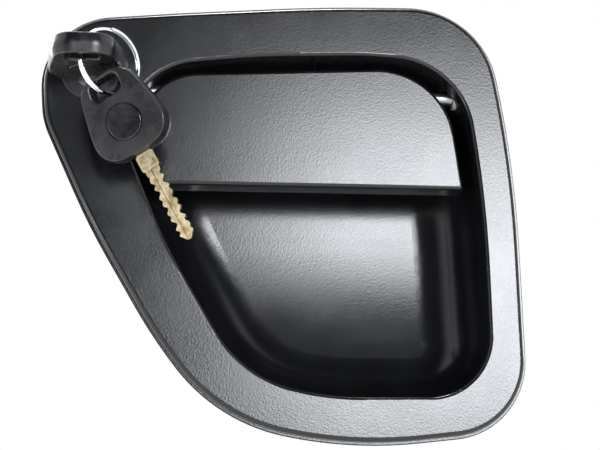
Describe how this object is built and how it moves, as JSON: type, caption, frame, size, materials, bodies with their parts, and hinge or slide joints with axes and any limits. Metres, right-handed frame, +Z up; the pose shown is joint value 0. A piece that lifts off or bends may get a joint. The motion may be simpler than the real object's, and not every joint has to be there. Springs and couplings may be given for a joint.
{
  "type": "car door handle",
  "caption": "Flush recessed door handle: flanged hand bowl with a sprung flap, rear release linkage, and a key lock with a key, split ring and spare key.",
  "frame": {"origin": "middle of the flange, on the plane where the gasket meets the door skin", "axes": "+X right seen from outside, +Z up, -Y out of the door"},
  "size_m": [0.2304, 0.1073, 0.2135],
  "materials": {
    "textured_nylon": "fine moulded grain, satin black",
    "flap_plastic": "fine moulded grain, light scratches",
    "satin_black_plastic": "satin",
    "key_head_plastic": "semi-gloss, rubbed by handling",
    "badge_plastic": "gloss, plain",
    "clip_plastic": "natural nylon",
    "bearing_plastic": "natural acetal",
    "seal_rubber": "matt",
    "zinc_plated_steel": "bright zinc plate",
    "screw_steel": "zinc plate",
    "spring_steel": "drawn wire",
    "bright_steel": "ground",
    "die_cast_zinc": "as cast",
    "wafer_brass": "stamped",
    "nickel_silver": "worn plating over brass",
    "ring_chrome": "polished"
  },
  "bodies": {
    "housing": {"housing": "textured_nylon", "flange_gasket": "seal_rubber", "retaining_bracket": "zinc_plated_steel", "bracket_screws": "screw_steel", "mounting_studs": "screw_steel", "spindle_bush_left": "bearing_plastic", "spindle_bush_right": "bearing_plastic", "bellcrank_screw": "screw_steel", "stop_buffer": "seal_rubber", "lock_housing": "die_cast_zinc", "lock_seal": "seal_rubber", "lock_clip": "spring_steel", "lock_cap": "satin_black_plastic", "cam_spring": "spring_steel"},
    "flap": {"flap_cover": "flap_plastic", "flap_carrier": "die_cast_zinc", "flap_screws": "screw_steel", "spindle": "bright_steel", "spindle_clip": "spring_steel", "carrier_pins": "spring_steel", "return_spring": "spring_steel", "crank_lever": "zinc_plated_steel", "crank_roll_pin": "spring_steel"},
    "link": {"link_rod": "zinc_plated_steel", "link_clips": "clip_plastic"},
    "bellcrank": {"bellcrank": "zinc_plated_steel", "bellcrank_bush": "bearing_plastic"},
    "plug": {"lock_plug": "die_cast_zinc", "wafer_tumblers": "wafer_brass", "wafer_springs": "spring_steel", "cam_lever": "zinc_plated_steel", "cam_screw": "screw_steel"},
    "first_key": {"key_bow": "key_head_plastic", "key_badge": "badge_plastic", "key_blade": "nickel_silver"},
    "ring": {"split_ring": "ring_chrome"},
    "spare_key": {"spare_key_bow": "key_head_plastic", "spare_key_badge": "badge_plastic", "spare_key_blade": "nickel_silver"}
  },
  "joints": [
    {"name": "flap_pull", "type": "hinge", "parent": "housing", "child": "flap", "pos_m": [0, 0.0085, 0.063], "axis": [-1, 0, 0], "range_deg": [0, 30], "stiffness_Nm_per_rad": 0.15, "springref_deg": -57.3, "deforming": ["return_spring"]},
    {"name": "link_follow", "type": "hinge", "parent": "flap", "child": "link", "pos_m": [0.0946, 0.0285, 0.063], "axis": [-1, 0, 0], "range_deg": [-31, 1]},
    {"name": "bellcrank_turn", "type": "hinge", "parent": "housing", "child": "bellcrank", "pos_m": [0.1044, 0.0335, 0.01], "axis": [-1, 0, 0], "range_deg": [-1, 31]},
    {"name": "lock_turn", "type": "hinge", "parent": "housing", "child": "plug", "pos_m": [-0.092, 0, 0.0675], "axis": [0, 1, 0], "range_deg": [-60, 60]},
    {"name": "key_slide", "type": "slide", "parent": "plug", "child": "first_key", "axis": [0, -1, 0], "range_m": [0, 0.048]},
    {"name": "ring_swing", "type": "hinge", "parent": "first_key", "child": "ring", "pos_m": [-0.0933, -0.0409, 0.0665], "axis": [0, 0, -1], "range_deg": [0, 60]},
    {"name": "spare_key_swing", "type": "hinge", "parent": "ring", "child": "spare_key", "pos_m": [-0.0812, -0.0315, 0.0643], "axis": [-0.6157, 0.788, 0], "range_deg": [-6, 30]}
  ],
  "couplings": [
    {"joint": "link_follow", "follows": "flap_pull", "ratio": -1},
    {"joint": "bellcrank_turn", "follows": "flap_pull", "ratio": 1}
  ]
}
